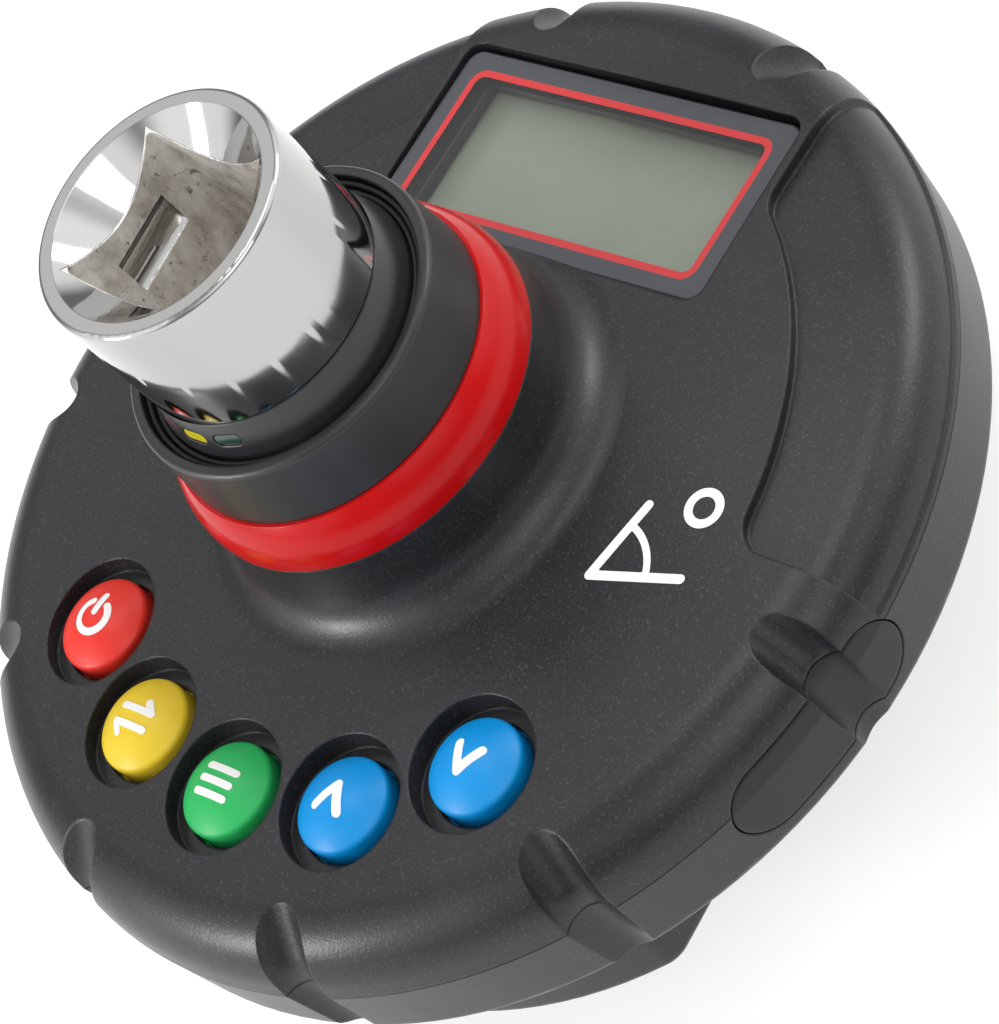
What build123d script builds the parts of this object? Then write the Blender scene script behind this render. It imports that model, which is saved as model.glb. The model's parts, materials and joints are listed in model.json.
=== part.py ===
from build123d import *
import math
import os

os.makedirs("parts", exist_ok=True)

# A torque adapter with a square socket at the top and a square drive at the bottom.
# Millimetres. The origin is the centre of the drive square's end face. +Z runs up the shaft
# to the socket mouth, and +Y points to the top of the display.

# Running gap between pieces that touch, how far a rib or post reaches into the wall that
# carries it, and how far a cutter runs past the surface it cuts
slip = 0.05
root = 0.4
over = 3.0

# Drive shaft
drive_square = 12.7
square_clearance = 0.1
square_edge_r = 0.9
square_end_chamfer = 0.8
output_length = 15.5
shoulder_height = 2.0
head_r = 11.05
head_length = 13.2
head_edge_r = 0.45
head_foot_r = 0.3
mouth_r = 9.6
lead_in_depth = 4.3
socket_depth = 17.0
socket_corner_r = 0.7
detent_groove_r = 2.6
detent_groove_length = 6.5
detent_groove_depth = 0.8
upper_journal_r = 9.6
upper_journal_length = 17.0
gauge_r = 7.6
gauge_flat = 6.8
gauge_length = 14.0
lower_journal_r = 9.2
journal_chamfer = 0.5
relief_taper = 1.6
foil_length = 8.0
foil_width = 5.0
foil_thickness = 0.2

# Heights of the housing, from the drive shoulder up
boss_height = 12.0
rear_rim_height = 7.4
front_rim_height = 6.4
crown = 1.3
neck_height = 8.1
band_height = 4.6
collar_height = 6.7
head_rise = 16.0

# Housing
rim_r = 45.0
rim_draft = 0.7
edge_round = 5.5
back_round = 1.2
wall = 2.8
floor = 2.0
foot_r = 19.0
edge_start_r = 38.5
neck_r = 16.1
neck_fillet = 4.0
spigot_r = 14.0
boss_r = 38.0
boss_flat = 28.0
boss_corner_r = 3.0
boss_edge_r = 1.0

# Rim grooves
groove_r = 2.4
groove_depth = 1.5
groove_lead_in = 0.3
groove_lead_up = 5.1
groove_knee_drop = 4.0
groove_angles = (-172.5, -139.5, -106.5, -73.5, -40.5, -7.5, 72.5, 107.5)

# Thumb scoops: an arc inside, a straight end beside the window and one at three o'clock
scoop_r = 33.9
scoop_margin = 0.8
scoop_end_y = 0.2
scoop_corner_r = 3.0
scoop_depth = 0.8
scoop_fall = 0.5
scoop_side = 0.3
scoop_edge_round = 4.5
scoop_ledge = 0.6

# Collar, band and rings at the neck
collar_r = 14.35
collar_taper = 0.4
collar_edge_r = 0.5
collar_bore_r = 11.85
recess_r = 12.95
recess_depth = 3.0
skirt_length = 6.5
skirt_wall = 0.9
band_top_r = 14.65
band_bulge = 0.35
band_edge_r = 0.25
ring_width = 0.45
ring_edge_r = 0.2
ring_gap = 0.05
ring_sink = 0.6
dust_ring_sink = 0.9
indicator_top_r = 10.95
indicator_length = 8.6
lens_width = 2.6
lens_height = 1.2
lens_depth = 1.3
lens_sink = 0.15
lens_step = 17.5

# Display
display_y = 26.7
window_width = 38.0
window_height = 17.8
window_thickness = 1.2
window_corner_r = 1.6
window_bevel = 0.2
window_sink = 0.8
window_gap = 0.15
window_top_gap = 0.4
view_width = 32.0
view_height = 12.2
glass_width = 35.0
glass_height = 15.2
glass_thickness = 2.4
glass_clearance = 0.6
frame_border = 1.0

# Keys
key_names = ("key_clear", "key_units", "key_memory", "key_up", "key_down")
key_circle_r = 31.6
key_step = 22.0
key_r = 4.2
key_crest = 1.1
key_dome = 1.6
key_edge_r = 0.6
key_gap = 0.25
key_travel = 0.8
key_flange = 1.0
key_flange_thickness = 0.9
key_stem_r = 2.2
well_r = 5.7
well_depth = 1.9
well_floor = 1.25
deck_border = 0.9
switch_r = 2.0
switch_top_r = 1.4
switch_height = 0.6
switch_margin = 0.15
mat_thickness = 1.0
mat_border = 6.1
mat_hole_gap = 0.8

# Circuit board
board_lift = 1.4
board_thickness = 1.6
board_bore_gap = 0.6
board_gap = 1.0
buzzer_r = 5.5
buzzer_height = 3.2
buzzer_hole_r = 1.1
buzzer_inset = 11.2
buzzer_angle = 165.0
chip_side = 9.0
chip_height = 1.2
chip_inset = 12.2
chip_angle = 190.0

# Port on the rim
port_angle = -11.5
port_length = 19.5
port_height = 7.5
port_depth = 2.1
port_drop = 1.7
port_reach = 4.5
port_gap = 0.15
jack_width = 7.4
jack_height = 3.4
jack_length = 6.0
jack_mouth_width = 5.0
jack_mouth_height = 1.8
tongue_gap = 0.2
tongue_bite = 2.0

# Battery bays and cover
cell_r = 5.25
cell_length = 44.5
cell_nub_r = 1.9
cell_nub_length = 0.9
cell_edge_r = 0.4
cell_y = 20.2
cell_gap = 0.35
spring_room = 4.4
contact_thickness = 0.4
contact_width = 7.0
leaf_gap = 0.6
leaf_lean = 1.2
cover_thickness = 1.6
cover_lip = 1.6
cover_gap = 0.15
cover_bore_r = 10.4
rib_length = 18.0
rib_width = 0.9
rib_depth = 0.4
rib_pitch = 2.2
rib_count = 5

# Screws, lock plate, bushes and rings
screw_r = 1.1
screw_gap = 0.1
screw_head_r = 2.1
screw_head_height = 1.5
screw_bite = 3.0
hole_extra = 0.5
cross_length = 2.5
cross_width = 0.6
cross_depth = 0.6
post_r = 2.7
post_margin = 0.5
side_screw_angle = 28.0
end_screw_inset = 1.8
cover_screw_x = 20.0
cover_screw_y = 31.5
cover_screw_length = 7.0
plate_border = 2.4
plate_thickness = 2.0
plate_screw_reach = 3.0
plate_screw_length = 5.0
plate_screw_shank = 0.8
plate_screw_head_r = 1.5
plate_screw_head_height = 1.0
key_bar_width = 3.0
key_bar_depth = 1.1
clip_thickness = 1.0
clip_groove = 0.5
clip_width = 1.7
clip_mouth = 60.0
bush_wall = 1.8
web_thickness = 5.0

# Detent in the drive square
ball_r = 2.35
ball_proud = 0.9
ball_gap = 0.1
ball_z = 7.0
ball_travel = 0.85
detent_depth = 9.6
spring_wire_r = 0.3
spring_turns = 4

# Levels worked out from the sizes above
z_boss = output_length + shoulder_height
z_disc = z_boss + boss_height
z_parting = z_disc + rear_rim_height
z_edge = z_parting + front_rim_height
z_face = z_edge + crown
z_band = z_face + neck_height
z_collar = z_band + band_height
z_lip = z_collar + collar_height
z_mouth = z_lip + head_rise
z_head = z_mouth - head_length
z_floor = z_disc + floor
z_board = z_floor + board_lift
z_board_top = z_board + board_thickness
face_slope = crown / (edge_start_r - foot_r)
inner_rim_r = rim_r - wall
glass_drop = wall + glass_clearance
side_screw_r = inner_rim_r - floor - post_r - post_margin
end_screw_r = inner_rim_r - end_screw_inset
plate_screw_r = lower_journal_r + plate_screw_reach
plate_r = plate_screw_r + plate_border
board_bore_r = plate_r + board_bore_gap
board_r = inner_rim_r - board_gap
buzzer_circle_r = board_r - buzzer_inset
chip_circle_r = board_r - chip_inset
scoop_side_x = window_width / 2 + scoop_margin


def face_z(radius):
    """Height of the front face at a radius."""
    return z_face - face_slope * (radius - foot_r)


def polar(radius, angle):
    """Point in the XY plane."""
    turn = math.radians(angle)
    return (radius * math.cos(turn), radius * math.sin(turn))


def radial_plane(angle):
    """Plane through the shaft axis: local X points outwards, local Y upwards."""
    turn = math.radians(angle)
    outwards = (math.cos(turn), math.sin(turn), 0)
    normal = (math.sin(turn), -math.cos(turn), 0)
    return Plane(origin=(0, 0, 0), x_dir=outwards, z_dir=normal)


def round_corner(sketch, corner, radius):
    """Round the corner of a sketch that lies nearest to a point."""
    fillet(sketch.vertices().sort_by_distance(corner)[0], radius=radius)


def tube(name, inner_r, outer_r, bottom, height):
    """Plain ring between two radii."""
    with BuildPart(mode=Mode.PRIVATE) as ring:
        with BuildSketch(Plane.XY.offset(bottom)):
            Circle(outer_r)
            Circle(inner_r, mode=Mode.SUBTRACT)
        extrude(amount=height)
    ring.part.label = name
    return ring.part


def screw(x, y, head_z, length, shank_r, head_radius, head_height):
    """Countersunk screw that points up from its head at head_z, with a cross recess."""
    with BuildPart(mode=Mode.PRIVATE) as body:
        with Locations((x, y, head_z)):
            Cylinder(shank_r, length, align=(Align.CENTER, Align.CENTER, Align.MIN))
            Cone(head_radius, shank_r, head_height, align=(Align.CENTER, Align.CENTER, Align.MIN))
        with BuildSketch(Plane.XY.offset(head_z)):
            with Locations((x, y)):
                Rectangle(cross_length, cross_width)
                Rectangle(cross_width, cross_length)
        extrude(amount=cross_depth, mode=Mode.SUBTRACT)
    return body.part


def save(part, name):
    """Label a finished piece and write it."""
    part.label = name
    export_step(part, f"parts/{name}.step")


def save_group(pieces, name):
    """Write separate solids as one node."""
    save(Compound(label=name, children=pieces), name)


# Places that several pieces share
casing_screw_places = [polar(side_screw_r, turn + side * side_screw_angle)
                       for turn in (0, 180) for side in (-1, 1)]
casing_screw_places += [(0, end_screw_r), (0, -end_screw_r)]
cover_screw_places = [(cover_screw_x, 0), (-cover_screw_x, 0), (0, cover_screw_y), (0, -cover_screw_y)]
plate_screw_places = [polar(plate_screw_r, 45 + 90 * quarter) for quarter in range(4)]
key_places = [polar(key_circle_r, -90 + key_step * (number - 2)) for number in range(5)]
screw_hole_r = screw_r + screw_gap

# The display lies square to the sloping face on the 12 o'clock line
slope_angle = math.atan(face_slope)
display_plane = Plane(
    origin=(0, display_y, face_z(display_y)),
    x_dir=(1, 0, 0),
    z_dir=(0, math.sin(slope_angle), math.cos(slope_angle)),
)

# The port lies on the rim, across the joint between the casings
port_turn = radial_plane(port_angle)
port_direction = port_turn.x_dir
port_z = z_board_top + jack_height / 2
port_cover_z = z_parting - port_drop


def port_plane(distance, height):
    """Plane facing outwards through the port, at a distance from the shaft axis."""
    return Plane(
        origin=(port_direction.X * distance, port_direction.Y * distance, height),
        x_dir=(-port_direction.Y, port_direction.X, 0),
        z_dir=(port_direction.X, port_direction.Y, 0),
    )


# Cutter for one rim groove: a round bar that runs down the edge and then down the rim
groove_axis_r = rim_r - groove_depth + groove_r
groove_path_top = (edge_start_r + groove_lead_in, z_edge + groove_lead_up)
groove_path_knee = (groove_axis_r, z_edge - groove_knee_drop)
groove_path_foot = (groove_axis_r, z_disc - back_round)


def groove_cutter(angle):
    """Round bar along the rim at one angle."""
    plane = radial_plane(angle)
    with BuildPart(mode=Mode.PRIVATE) as cutter:
        with BuildLine(plane) as path:
            FilletPolyline(groove_path_top, groove_path_knee, groove_path_foot, radius=edge_round)
        with BuildSketch(Plane(path.line @ 0, z_dir=path.line % 0)):
            Circle(groove_r)
        sweep(path=path.line)
    return cutter.part


groove_cutters = [groove_cutter(angle) for angle in groove_angles]


def scoop_cutter(side):
    """Cutter for the thumb scoop on the right (1) or the left (-1) of the display."""
    corner_r = rim_r - rim_draft - scoop_side
    corner = (corner_r, face_z(corner_r) - scoop_depth - scoop_fall)
    start_r = scoop_r - scoop_corner_r
    with BuildPart(mode=Mode.PRIVATE) as cutter:
        with BuildSketch(Plane.XY.offset(z_parting)) as plan:
            with Locations((side * (scoop_side_x + rim_r / 2), scoop_end_y + rim_r / 2)):
                Rectangle(rim_r, rim_r)
            Circle(scoop_r, mode=Mode.SUBTRACT)
            fillet(plan.vertices().sort_by_distance((0, 0))[:2], radius=scoop_corner_r)
        extrude(amount=z_face + 2 * over - z_parting)
        with BuildSketch(Plane.XZ) as section:
            with BuildLine():
                Polyline(
                    (start_r, z_face + over),
                    (start_r, face_z(start_r) - scoop_depth),
                    corner,
                    (rim_r - scoop_side, z_parting + scoop_ledge),
                    (rim_r + over, z_parting + scoop_ledge),
                    (rim_r + over, z_face + over),
                    close=True,
                )
            make_face()
            round_corner(section, corner, scoop_edge_round)
        revolve(axis=Axis.Z, mode=Mode.INTERSECT)
    return cutter.part


def port_bar(length, height, floor_r):
    """Slot-shaped block outside a radius, for the port recess and its cover."""
    with BuildPart(mode=Mode.PRIVATE) as bar:
        with BuildSketch(port_plane(floor_r - port_reach, port_cover_z)):
            SlotOverall(length, height)
        extrude(amount=2 * port_reach)
        with Locations((0, 0, port_cover_z)):
            Cylinder(floor_r, height * 2, mode=Mode.SUBTRACT)
    return bar.part


port_recess = port_bar(port_length, port_height, rim_r - port_depth)


# Front casing: a crowned shell with the neck, key wells, display window and thumb scoops
with BuildPart() as front_casing:
    corner_r = rim_r - rim_draft
    inner_corner_r = corner_r - wall
    bore_r = collar_bore_r + skirt_wall + slip
    bore_foot = z_collar - skirt_length - slip
    throat_r = neck_r - wall
    with BuildSketch(Plane.XZ) as outline:
        with BuildLine():
            Polyline(
                (bore_r, z_collar),
                (spigot_r, z_collar),
                (spigot_r, z_band),
                (neck_r, z_band),
                (neck_r, face_z(neck_r)),
                (corner_r, face_z(corner_r)),
                (rim_r, z_parting),
                (inner_rim_r, z_parting),
                (inner_corner_r, face_z(inner_corner_r) - wall),
                (throat_r, face_z(throat_r) - wall),
                (throat_r, bore_foot),
                (bore_r, bore_foot),
                close=True,
            )
        make_face()
        round_corner(outline, (neck_r, face_z(neck_r)), neck_fillet)
        round_corner(outline, (corner_r, face_z(corner_r)), edge_round)
        round_corner(outline, (inner_corner_r, face_z(inner_corner_r) - wall), edge_round - wall)
    revolve(axis=Axis.Z)
    # Posts that clamp the board and take the casing screws
    with BuildSketch(Plane.XY.offset(z_parting)):
        with Locations(*casing_screw_places):
            Circle(post_r)
    extrude(amount=face_z(end_screw_r) - wall - z_parting + root)
    with BuildSketch(Plane.XY.offset(z_board_top)):
        with Locations(*casing_screw_places):
            Circle(post_r)
        Circle(inner_rim_r - 2 * slip, mode=Mode.INTERSECT)
    extrude(amount=z_parting - z_board_top)
    # Decks under the key wells
    with BuildSketch(Plane.XY.offset(face_z(key_circle_r) - well_depth - well_floor)):
        with Locations(*key_places):
            Circle(well_r + deck_border)
    extrude(amount=well_floor + root)
    # Thumb scoops on both sides of the display
    for side in (-1, 1):
        add(scoop_cutter(side), mode=Mode.SUBTRACT)
    # Key wells and key holes
    with BuildSketch(Plane.XY.offset(face_z(key_circle_r) - well_depth)):
        with Locations(*key_places):
            Circle(well_r)
    extrude(amount=well_depth + over, mode=Mode.SUBTRACT)
    with BuildSketch(Plane.XY.offset(z_board_top)):
        with Locations(*key_places):
            Circle(key_r + key_gap)
    extrude(amount=z_face - z_board_top, mode=Mode.SUBTRACT)
    # Pocket and opening of the display
    with BuildSketch(display_plane.offset(-window_sink - window_thickness)):
        RectangleRounded(window_width, window_height, window_corner_r)
    extrude(amount=window_thickness + window_sink + over, mode=Mode.SUBTRACT)
    with BuildSketch(display_plane.offset(-wall - over)):
        Rectangle(view_width, view_height)
    extrude(amount=wall + 2 * over, mode=Mode.SUBTRACT)
    # Screw holes in the posts
    with BuildSketch(Plane.XY.offset(z_board_top)):
        with Locations(*casing_screw_places):
            Circle(screw_hole_r)
    extrude(amount=screw_bite + hole_extra, mode=Mode.SUBTRACT)
    # Rim grooves, port recess and the slot behind it
    for cutter in groove_cutters:
        add(cutter, mode=Mode.SUBTRACT)
    add(port_recess, mode=Mode.SUBTRACT)
    with BuildSketch(port_plane(inner_rim_r - wall, port_z)):
        SlotOverall(jack_mouth_width + 2 * tongue_gap, jack_mouth_height + 2 * tongue_gap)
    extrude(amount=wall * 3, mode=Mode.SUBTRACT)
save(front_casing.part, "front_casing")


# Rear casing: the back of the disc and the boss with two flats that holds the cells
bay_length = cell_length + spring_room + 2 * contact_thickness
bay_width = 2 * (cell_r + cell_gap)
bay_top = z_boss + cover_thickness + 2 * (cell_r + cell_gap)
web_foot = z_floor - web_thickness
bush_seat_r = lower_journal_r + slip + bush_wall

with BuildPart() as rear_casing:
    with BuildSketch(Plane.XZ) as rim_outline:
        with BuildLine():
            Polyline(
                (0, z_disc),
                (rim_r - rim_draft, z_disc),
                (rim_r, z_parting),
                (inner_rim_r, z_parting),
                (inner_rim_r, z_floor),
                (0, z_floor),
                close=True,
            )
        make_face()
        round_corner(rim_outline, (rim_r - rim_draft, z_disc), back_round)
        round_corner(rim_outline, (inner_rim_r, z_floor), floor)
    revolve(axis=Axis.Z)
    with BuildSketch(Plane.XY.offset(z_boss)) as boss:
        Circle(boss_r)
        Rectangle(2 * boss_flat, 2 * boss_r, mode=Mode.INTERSECT)
        fillet(boss.vertices(), radius=boss_corner_r)
    extrude(amount=boss_height + floor / 2)
    fillet(rear_casing.faces().sort_by(Axis.Z)[0].outer_wire().edges(), radius=boss_edge_r)
    # Posts under the board
    with BuildSketch(Plane.XY.offset(z_disc + floor / 2)):
        with Locations(*casing_screw_places):
            Circle(post_r)
    extrude(amount=z_board - z_disc - floor / 2)
    # Bore for the shaft, wider where the bush sits
    with BuildSketch(Plane.XY.offset(z_boss)):
        Circle(lower_journal_r + 2 * slip)
    extrude(amount=z_floor - z_boss, mode=Mode.SUBTRACT)
    with BuildSketch(Plane.XY.offset(z_boss)):
        Circle(bush_seat_r + slip)
    extrude(amount=web_foot - z_boss, mode=Mode.SUBTRACT)
    # Rebate for the cover and the two cell bays
    with BuildSketch(Plane.XY.offset(z_boss)) as rebate:
        Circle(boss_r - cover_lip)
        Rectangle(2 * (boss_flat - cover_lip), 2 * boss_r, mode=Mode.INTERSECT)
        fillet(rebate.vertices(), radius=boss_corner_r / 2)
    extrude(amount=cover_thickness, mode=Mode.SUBTRACT)
    with BuildSketch(Plane.XY.offset(z_boss)):
        with Locations((0, cell_y), (0, -cell_y)):
            Rectangle(bay_length, bay_width)
    extrude(amount=bay_top - z_boss, mode=Mode.SUBTRACT)
    # Screw holes: through the posts, into the boss and into the web
    with BuildSketch(Plane.XY.offset(z_disc)):
        with Locations(*casing_screw_places):
            Circle(screw_hole_r)
    extrude(amount=z_board - z_disc, mode=Mode.SUBTRACT)
    with Locations(*[(x, y, z_disc) for x, y in casing_screw_places]):
        Cone(screw_head_r + screw_gap, screw_hole_r, screw_head_height,
             align=(Align.CENTER, Align.CENTER, Align.MIN), mode=Mode.SUBTRACT)
    # Way for the driver, where a casing screw comes under the boss
    with BuildSketch(Plane.XY.offset(z_boss)):
        with Locations(*casing_screw_places):
            Circle(screw_head_r + screw_gap)
    extrude(amount=boss_height, mode=Mode.SUBTRACT)
    with BuildSketch(Plane.XY.offset(z_boss)):
        with Locations(*cover_screw_places):
            Circle(screw_hole_r)
    extrude(amount=cover_screw_length + hole_extra, mode=Mode.SUBTRACT)
    with BuildSketch(Plane.XY.offset(z_floor)):
        with Locations(*plate_screw_places):
            Circle(plate_screw_shank + screw_gap)
    extrude(amount=plate_thickness - plate_screw_length - hole_extra, mode=Mode.SUBTRACT)
    for cutter in groove_cutters:
        add(cutter, mode=Mode.SUBTRACT)
    add(port_recess, mode=Mode.SUBTRACT)
    with BuildSketch(port_plane(inner_rim_r - wall, port_z)):
        SlotOverall(jack_mouth_width + 2 * tongue_gap, jack_mouth_height + 2 * tongue_gap)
    extrude(amount=wall * 3, mode=Mode.SUBTRACT)
save(rear_casing.part, "rear_casing")


# Cover over the cell bays, let into the boss
with BuildPart() as battery_cover:
    with BuildSketch(Plane.XY.offset(z_boss)) as cover_outline:
        Circle(boss_r - cover_lip - cover_gap)
        Rectangle(2 * (boss_flat - cover_lip - cover_gap), 2 * boss_r, mode=Mode.INTERSECT)
        fillet(cover_outline.vertices(), radius=boss_corner_r / 2)
        Circle(cover_bore_r, mode=Mode.SUBTRACT)
    extrude(amount=cover_thickness)
    # Shallow grip lines behind each cell
    with BuildSketch(Plane.XY.offset(z_boss)):
        with GridLocations(0, rib_pitch, 1, rib_count):
            with Locations((0, -cell_y), (0, cell_y)):
                SlotOverall(rib_length, rib_width)
    extrude(amount=rib_depth, mode=Mode.SUBTRACT)
    with BuildSketch(Plane.XY.offset(z_boss)):
        with Locations(*cover_screw_places):
            Circle(screw_hole_r)
    extrude(amount=cover_thickness, mode=Mode.SUBTRACT)
    with Locations(*[(x, y, z_boss) for x, y in cover_screw_places]):
        Cone(screw_head_r + screw_gap, screw_hole_r, screw_head_height,
             align=(Align.CENTER, Align.CENTER, Align.MIN), mode=Mode.SUBTRACT)
save(battery_cover.part, "battery_cover")


# Collar on the neck, with a recess for the rings and a skirt inside the spigot
with BuildPart() as neck_collar:
    with BuildSketch(Plane.XZ) as collar_outline:
        with BuildLine():
            Polyline(
                (collar_bore_r, z_collar - skirt_length),
                (collar_bore_r + skirt_wall, z_collar - skirt_length),
                (collar_bore_r + skirt_wall, z_collar),
                (collar_r, z_collar),
                (collar_r - collar_taper, z_lip),
                (recess_r, z_lip),
                (recess_r, z_lip - recess_depth),
                (collar_bore_r, z_lip - recess_depth),
                close=True,
            )
        make_face()
        round_corner(collar_outline, (collar_r - collar_taper, z_lip), collar_edge_r)
        round_corner(collar_outline, (recess_r, z_lip), collar_edge_r / 3)
    revolve(axis=Axis.Z)
save(neck_collar.part, "neck_collar")


# Flared band over the spigot
with BuildPart() as red_band:
    with BuildSketch(Plane.XZ) as band_outline:
        with BuildLine():
            foot = (neck_r, z_band)
            head = (band_top_r, z_collar)
            belly = ((neck_r + band_top_r) / 2 + band_bulge, (z_band + z_collar) / 2 + band_bulge)
            Polyline(head, (spigot_r + slip, z_collar), (spigot_r + slip, z_band), foot)
            ThreePointArc(foot, belly, head)
        make_face()
    revolve(axis=Axis.Z)
    fillet(red_band.edges().filter_by(GeomType.CIRCLE).sort_by(Axis.Z)[-1], radius=band_edge_r)
save(red_band.part, "red_band")


# Two rings that fill the recess around the indicator ring
def recess_ring(name, inner_r, sink):
    """Ring with a rounded top that stands on the recess floor."""
    outer_r = inner_r + ring_width
    with BuildPart() as ring:
        with BuildSketch(Plane.XZ) as section:
            with BuildLine():
                Polyline(
                    (inner_r, z_lip - sink),
                    (inner_r, z_lip - recess_depth),
                    (outer_r, z_lip - recess_depth),
                    (outer_r, z_lip - sink),
                    close=True,
                )
            make_face()
            round_corner(section, (inner_r, z_lip - sink), ring_edge_r)
            round_corner(section, (outer_r, z_lip - sink), ring_edge_r)
        revolve(axis=Axis.Z)
    save(ring.part, name)


recess_ring("dust_ring", collar_bore_r + ring_gap, dust_ring_sink)
recess_ring("lip_ring", recess_r - ring_width - ring_gap, ring_sink)

# Indicator ring: the dark sleeve under the socket head, with a slot for each lens
indicator_r = collar_bore_r - slip
cone_foot = z_lip - ring_sink
cone_tilt = math.degrees(math.atan2(indicator_r - indicator_top_r, z_head - slip - cone_foot))


def lens_plane(angle, depth):
    """Plane on the cone of the indicator ring, sunk by a depth."""
    middle_r = (indicator_r + indicator_top_r) / 2
    middle_z = (z_head + cone_foot) / 2
    up = math.sin(math.radians(cone_tilt))
    out = math.cos(math.radians(cone_tilt))
    x, y = polar(1, angle)
    radius = middle_r - depth * out
    return Plane(
        origin=(x * radius, y * radius, middle_z - depth * up),
        x_dir=(-y, x, 0),
        z_dir=(x * out, y * out, up),
    )


lens_angles = (-90 - lens_step, -90, -90 + lens_step)

with BuildPart() as indicator_ring:
    with BuildSketch(Plane.XZ):
        with BuildLine():
            Polyline(
                (upper_journal_r + slip, z_head - slip),
                (indicator_top_r, z_head - slip),
                (indicator_r, cone_foot),
                (indicator_r, z_head - indicator_length),
                (upper_journal_r + slip, z_head - indicator_length),
                close=True,
            )
        make_face()
    revolve(axis=Axis.Z)
    for angle in lens_angles:
        with BuildSketch(lens_plane(angle, lens_depth)):
            SlotOverall(lens_width, lens_height)
        extrude(amount=lens_depth + over, mode=Mode.SUBTRACT)
save(indicator_ring.part, "indicator_ring")

for colour, angle in zip(("red", "yellow", "green"), lens_angles):
    with BuildPart() as lens:
        with BuildSketch(lens_plane(angle, lens_depth)):
            SlotOverall(lens_width - 2 * slip, lens_height - 2 * slip)
        extrude(amount=lens_depth - lens_sink)
    save(lens.part, f"lens_{colour}")


# Drive shaft: socket head, journals, flattened gauge section and drive square
z_upper_journal = z_head - upper_journal_length
z_gauge = z_upper_journal - gauge_length
clip_z_upper = z_floor + plate_thickness + slip
clip_z_lower = web_foot - clip_thickness - slip
flats_half = (drive_square - square_clearance) / 2

with BuildPart() as drive_shaft:
    with BuildSketch(Plane.XZ) as shaft_outline:
        with BuildLine():
            Polyline(
                (0, output_length),
                (lower_journal_r - journal_chamfer, output_length),
                (lower_journal_r, output_length + journal_chamfer),
                (lower_journal_r, z_gauge),
                (gauge_r, z_gauge + relief_taper),
                (gauge_r, z_upper_journal - relief_taper),
                (upper_journal_r, z_upper_journal),
                (upper_journal_r, z_head),
                (head_r, z_head),
                (head_r, z_mouth),
                (0, z_mouth),
                close=True,
            )
        make_face()
        round_corner(shaft_outline, (head_r, z_mouth), head_edge_r)
        round_corner(shaft_outline, (head_r, z_head), head_foot_r)
    revolve(axis=Axis.Z)
    # Drive square with broken edges
    with BuildSketch() as output_outline:
        Rectangle(2 * flats_half, 2 * flats_half)
        fillet(output_outline.vertices(), radius=square_edge_r)
    extrude(amount=output_length)
    chamfer(drive_shaft.faces().sort_by(Axis.Z)[0].edges(), length=square_end_chamfer)
    # Flats on the gauge section
    with BuildSketch(Plane.XY.offset(z_gauge + relief_taper)):
        with Locations((0, gauge_flat + gauge_r), (0, -gauge_flat - gauge_r)):
            Rectangle(2 * upper_journal_r, 2 * gauge_r)
    extrude(amount=gauge_length - 2 * relief_taper, mode=Mode.SUBTRACT)
    # Square socket, its conical lead-in and the detent groove in its wall
    input_half = (drive_square + square_clearance) / 2
    with BuildSketch(Plane.XY.offset(z_mouth - socket_depth)) as input_outline:
        Rectangle(2 * input_half, 2 * input_half)
        fillet(input_outline.vertices(), radius=socket_corner_r)
    extrude(amount=socket_depth, mode=Mode.SUBTRACT)
    with Locations((0, 0, z_mouth)):
        Cone(mouth_r - lead_in_depth, mouth_r, lead_in_depth,
             align=(Align.CENTER, Align.CENTER, Align.MAX), mode=Mode.SUBTRACT)
    groove_x = input_half + detent_groove_depth - detent_groove_r
    with BuildSketch(Plane.XZ.offset(-detent_groove_length / 2)):
        with Locations((groove_x, z_mouth - ball_z), (-groove_x, z_mouth - ball_z)):
            Circle(detent_groove_r)
    extrude(amount=detent_groove_length, mode=Mode.SUBTRACT)
    # Pocket for the detent ball and spring
    with BuildSketch(Plane.YZ.offset(flats_half)):
        with Locations((0, ball_z)):
            Circle(ball_r + ball_gap)
    extrude(amount=-detent_depth, mode=Mode.SUBTRACT)
    # Grooves for the retaining rings and a seat for the key bar
    for level in (clip_z_upper, clip_z_lower):
        with BuildSketch(Plane.XY.offset(level - slip)):
            Circle(lower_journal_r + over)
            Circle(lower_journal_r - clip_groove, mode=Mode.SUBTRACT)
        extrude(amount=clip_thickness + 2 * slip, mode=Mode.SUBTRACT)
    with BuildSketch(Plane.XY.offset(z_floor)):
        with Locations((lower_journal_r, 0)):
            Rectangle(2 * key_bar_depth, key_bar_width)
    extrude(amount=plate_thickness, mode=Mode.SUBTRACT)
save(drive_shaft.part, "drive_shaft")


# Detent ball and its spring in the drive square
ball_x = flats_half + ball_proud - ball_r
with BuildPart() as detent_ball:
    with Locations((ball_x, 0, ball_z)):
        Sphere(ball_r)
save(detent_ball.part, "detent_ball")

# The ball's back would seat in the last turn of the spring at the end of its travel
spring_coil_r = ball_r - 2 * spring_wire_r
seat_reach = math.sqrt((ball_r + spring_wire_r) ** 2 - spring_coil_r ** 2)
spring_start = flats_half - detent_depth + spring_wire_r
spring_end = ball_x - seat_reach - ball_travel - slip
with BuildPart() as detent_spring:
    spring_length = spring_end - spring_start
    with BuildLine() as coil:
        Helix(spring_length / spring_turns, spring_length, spring_coil_r,
              center=(spring_start, 0, ball_z), direction=(1, 0, 0))
    with BuildSketch(Plane(coil.line @ 0, z_dir=coil.line % 0)):
        Circle(spring_wire_r)
    sweep(path=coil.line, is_frenet=True)
save(detent_spring.part, "detent_spring")


# Gauges bonded on the flats of the shaft
gauges = []
for side in (-1, 1):
    with BuildPart(mode=Mode.PRIVATE) as gauge:
        with Locations((0, side * (gauge_flat + foil_thickness / 2), z_gauge + gauge_length / 2)):
            Box(foil_width, foil_thickness, foil_length)
    gauges.append(gauge.part)
save_group(gauges, "strain_gauges")


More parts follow.
